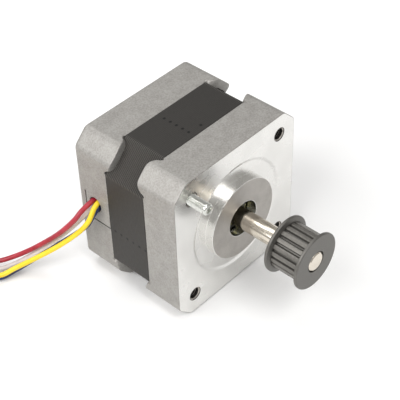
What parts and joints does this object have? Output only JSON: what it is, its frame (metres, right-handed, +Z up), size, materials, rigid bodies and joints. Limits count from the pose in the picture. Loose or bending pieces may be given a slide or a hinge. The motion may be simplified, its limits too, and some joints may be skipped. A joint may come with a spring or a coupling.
{
  "type": "stepper motor with timing belt pulley",
  "caption": "Flanged timing belt pulley pressed on the shaft of a square stepper motor, which turns it and carries it, with flying leads.",
  "frame": {"origin": "on the resting plane, under the middle of the box round the motor and shaft, the free leads not counted", "axes": "the shaft and pulley point along -Y, the motor body runs back along +Y, the leads leave on -X, +Z is up"},
  "size_m": [0.1056, 0.0921, 0.0423],
  "materials": {
    "cast_aluminium": "die-cast, bead-blasted grey, machined bright on the mounting face",
    "lamination_steel": "blackened silicon steel laminations",
    "rotor_steel": "punched silicon steel",
    "shaft_steel": "ground and polished",
    "bearing_steel": "ground bearing steel with a film of grease",
    "pulley_steel": "sintered steel, black oxide",
    "zinc_plate": "bright zinc plated steel",
    "magnet": "nickel-plated magnet",
    "nylon": "moulded nylon",
    "copper_wire": "enamelled copper wire",
    "circuit_board": "glass-epoxy board",
    "tinned_copper": "tinned",
    "lead_red": "extruded insulation",
    "lead_yellow": "extruded insulation",
    "lead_blue": "extruded insulation",
    "lead_white": "extruded insulation",
    "tie_plastic": "moulded nylon tie"
  },
  "bodies": {
    "motor_body": {"front_end_cap": "cast_aluminium", "rear_end_cap": "cast_aluminium", "lead_outlet_insert": "cast_aluminium", "stator_core": "lamination_steel", "stator_coil_1": "copper_wire", "stator_coil_2": "copper_wire", "stator_coil_3": "copper_wire", "stator_coil_4": "copper_wire", "stator_coil_5": "copper_wire", "stator_coil_6": "copper_wire", "stator_coil_7": "copper_wire", "stator_coil_8": "copper_wire", "front_insulator": "nylon", "rear_insulator": "nylon", "termination_board": "circuit_board", "case_screw_1": "zinc_plate", "case_screw_2": "zinc_plate", "case_screw_3": "zinc_plate", "case_screw_4": "zinc_plate", "mounting_set_screw": "zinc_plate", "front_bearing_outer_ring": "bearing_steel", "rear_bearing_outer_ring": "bearing_steel", "bearing_preload_washer": "shaft_steel", "lead_red": "lead_red", "lead_tip_red": "tinned_copper", "lead_white": "lead_white", "lead_tip_white": "tinned_copper", "lead_yellow": "lead_yellow", "lead_tip_yellow": "tinned_copper", "lead_blue": "lead_blue", "lead_tip_blue": "tinned_copper", "lead_coil": "lead_white", "lead_coil_tie": "tie_plastic"},
    "rotor": {"motor_shaft": "shaft_steel", "rotor_cup_front": "rotor_steel", "rotor_magnet": "magnet", "rotor_cup_rear": "rotor_steel", "rotor_spacer_front": "shaft_steel", "rotor_spacer_rear": "shaft_steel", "front_bearing_inner_ring": "bearing_steel", "rear_bearing_inner_ring": "bearing_steel", "pulley_toothed_body": "pulley_steel", "pulley_rear_flange": "pulley_steel", "pulley_front_flange": "pulley_steel"},
    "front_ball_set": {"front_bearing_balls": "bearing_steel"},
    "rear_ball_set": {"rear_bearing_balls": "bearing_steel"}
  },
  "joints": [
    {"name": "rotor_spin", "type": "hinge", "parent": "motor_body", "child": "rotor", "pos_m": [0, -0.00425, 0.02115], "axis": [0, -1, 0], "continuous": true},
    {"name": "front_balls_orbit", "type": "hinge", "parent": "motor_body", "child": "front_ball_set", "pos_m": [0, -0.00075, 0.02115], "axis": [0, -1, 0], "continuous": true},
    {"name": "rear_balls_orbit", "type": "hinge", "parent": "motor_body", "child": "rear_ball_set", "pos_m": [0, 0.02425, 0.02115], "axis": [0, -1, 0], "continuous": true}
  ],
  "couplings": [
    {"joint": "front_balls_orbit", "follows": "rotor_spin", "ratio": 0.3821},
    {"joint": "rear_balls_orbit", "follows": "rotor_spin", "ratio": 0.3821}
  ]
}
